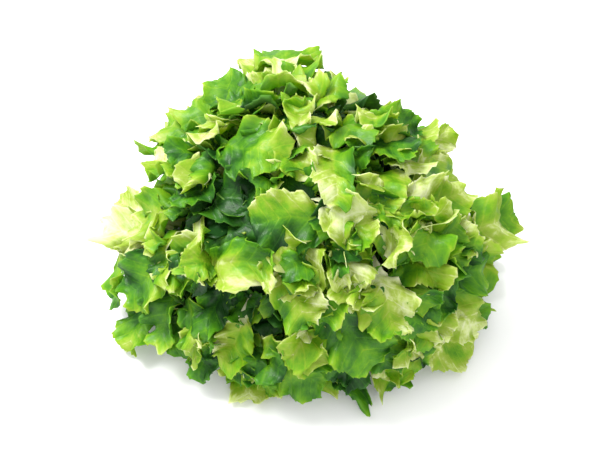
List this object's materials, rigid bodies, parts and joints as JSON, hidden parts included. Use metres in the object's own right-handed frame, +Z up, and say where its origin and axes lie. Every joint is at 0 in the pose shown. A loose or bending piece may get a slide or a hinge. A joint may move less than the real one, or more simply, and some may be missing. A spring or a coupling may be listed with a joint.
{
  "type": "green leaf lettuce head",
  "caption": "Open head of green leaf lettuce: toothed, waved leaves in a broad ragged dome on a short stem, cut flat so that it stands.",
  "frame": {"origin": "middle of the stem's flat cut face, which the head stands on", "axes": "+Z up, away from the cut face and the head's shortest way; +X to the picture's right, the head's longest way; -Y towards the viewer"},
  "size_m": [0.2376, 0.2193, 0.1223],
  "materials": {
    "leaf_green": "satin, slightly waxy and see-through leaf, paler at ribs and margins",
    "stem_cream": "moist cut stem, cream to pale green"
  },
  "bodies": {
    "root": {"leaf_head": "leaf_green", "stem_butt": "stem_cream"}
  },
  "joints": []
}
